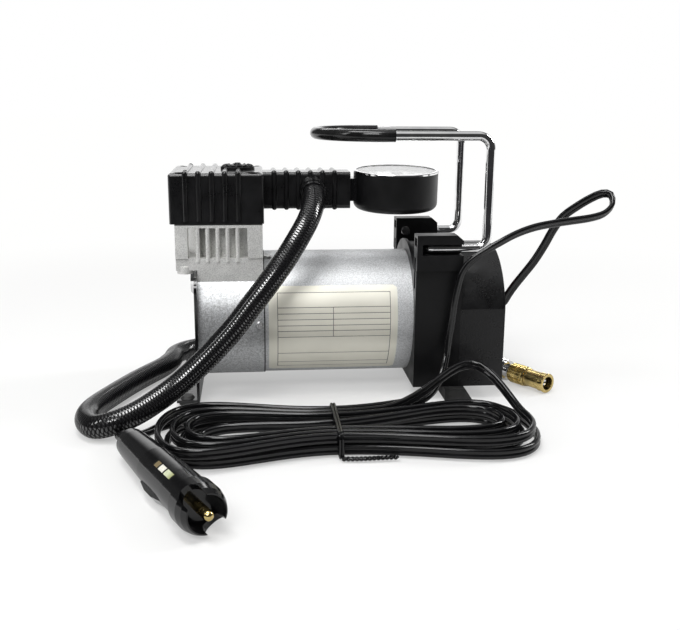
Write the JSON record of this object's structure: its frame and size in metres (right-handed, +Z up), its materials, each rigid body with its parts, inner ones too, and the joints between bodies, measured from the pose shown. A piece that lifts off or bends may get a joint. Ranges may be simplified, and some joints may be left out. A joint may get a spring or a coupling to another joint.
{
  "type": "portable tire inflator",
  "caption": "Portable 12 V tire inflator: silver motor and finned cylinder, ribbed head with round gauge, wire handle, braided hose with brass chuck, tied power cord with lighter plug.",
  "frame": {"origin": "on the floor, under the middle of the machine's length and width, the cords left out", "axes": "+X along the motor from the pump end to the switch end, -Y towards the user who reads the gauge, +Z up"},
  "size_m": [0.2945, 0.2674, 0.1482],
  "materials": {
    "silver_paint": "fine metallic silver",
    "cast_aluminium": "cast, satin",
    "black_paint": "satin",
    "black_plastic": "fine grain",
    "gloss_black": "gloss",
    "rubber": "matte",
    "cord_jacket": "semi-gloss vinyl",
    "hose_braid": "woven sleeve",
    "chrome": "bright",
    "steel": "plated",
    "magnet": "sintered",
    "copper": "enamelled copper",
    "fibre": "phenolic",
    "brass": "polished",
    "cup_leather": "oiled",
    "dial_white": "printed card",
    "needle_black": "matte",
    "clear": "clear",
    "rocker_red": "gloss",
    "window": "translucent"
  },
  "bodies": {
    "machine": {"motor_can": "silver_paint", "magnets": "magnet", "end_bell": "steel", "rear_bearing": "steel", "brush_holder": "fibre", "brushes": "magnet", "crankcase": "silver_paint", "front_bearing": "steel", "cylinder_block": "cast_aluminium", "cylinder_sleeve": "steel", "valve_plate": "cast_aluminium", "outlet_reed": "steel", "head_gasket": "rubber", "cylinder_head": "black_paint", "head_screws": "chrome", "intake_cap": "black_plastic", "front_plate": "steel", "plate_screws": "steel", "breather_cap": "chrome", "front_feet": "rubber", "seam_screws": "steel", "gauge_neck": "steel", "gauge_case": "black_plastic", "gauge_bezel": "chrome", "gauge_lens": "clear", "gauge_dial": "dial_white", "rear_housing": "black_plastic", "end_cover": "gloss_black", "cover_screws": "steel", "rear_feet": "rubber", "handle_wire": "chrome", "handle_grip": "rubber", "switch_body": "black_plastic", "strain_relief": "black_plastic", "hose_ferrule": "chrome", "hose": "hose_braid", "chuck_stem": "chrome", "power_lead": "cord_jacket", "cord_hank": "cord_jacket", "hank_tie": "cord_jacket", "plug_tail": "cord_jacket", "plug_body": "gloss_black", "plug_window": "window", "plug_nose": "gloss_black"},
    "rotor": {"motor_shaft": "steel", "armature_core": "steel", "windings": "copper", "commutator": "copper", "crank_disc": "steel"},
    "piston": {"piston": "cast_aluminium", "piston_cup": "cup_leather", "connecting_rod": "cast_aluminium", "crank_pin": "steel"},
    "needle": {"gauge_needle": "needle_black"},
    "rocker": {"switch_rocker": "rocker_red"},
    "plug_tip": {"plug_tip": "chrome"},
    "plug_contact_a": {"plug_contact_a": "chrome"},
    "plug_contact_b": {"plug_contact_b": "chrome"},
    "chuck_barrel": {"chuck_barrel": "brass", "chuck_seal": "rubber"}
  },
  "joints": [
    {"name": "motor_turn", "type": "hinge", "parent": "machine", "child": "rotor", "pos_m": [0, 0, 0.0437], "axis": [1, 0, 0], "continuous": true},
    {"name": "piston_stroke", "type": "slide", "parent": "machine", "child": "piston", "axis": [0, 0, 1], "range_m": [0, 0.013]},
    {"name": "gauge_reading", "type": "hinge", "parent": "machine", "child": "needle", "pos_m": [0.03445, 0, 0.1244], "axis": [0, 0.0523, -0.9986], "range_deg": [0, 270], "stiffness_Nm_per_rad": 0.0001},
    {"name": "switch_rock", "type": "hinge", "parent": "machine", "child": "rocker", "pos_m": [0.08725, 0, 0.0637], "axis": [0, 1, 0], "range_deg": [-16, 0]},
    {"name": "tip_press", "type": "slide", "parent": "machine", "child": "plug_tip", "axis": [-0.4224, 0.9058, -0.0332], "range_m": [0, 0.003], "stiffness_N_per_m": 800},
    {"name": "contact_a_press", "type": "slide", "parent": "machine", "child": "plug_contact_a", "axis": [0.7344, 0.3634, 0.5733], "range_m": [0, 0.0012], "stiffness_N_per_m": 1500},
    {"name": "contact_b_press", "type": "slide", "parent": "machine", "child": "plug_contact_b", "axis": [-0.7504, -0.329, 0.5733], "range_m": [0, 0.0012], "stiffness_N_per_m": 1500},
    {"name": "chuck_turn", "type": "hinge", "parent": "machine", "child": "chuck_barrel", "pos_m": [0.1053, -0.0107, 0.0062], "axis": [0.515, -0.8572, 0], "continuous": true}
  ]
}
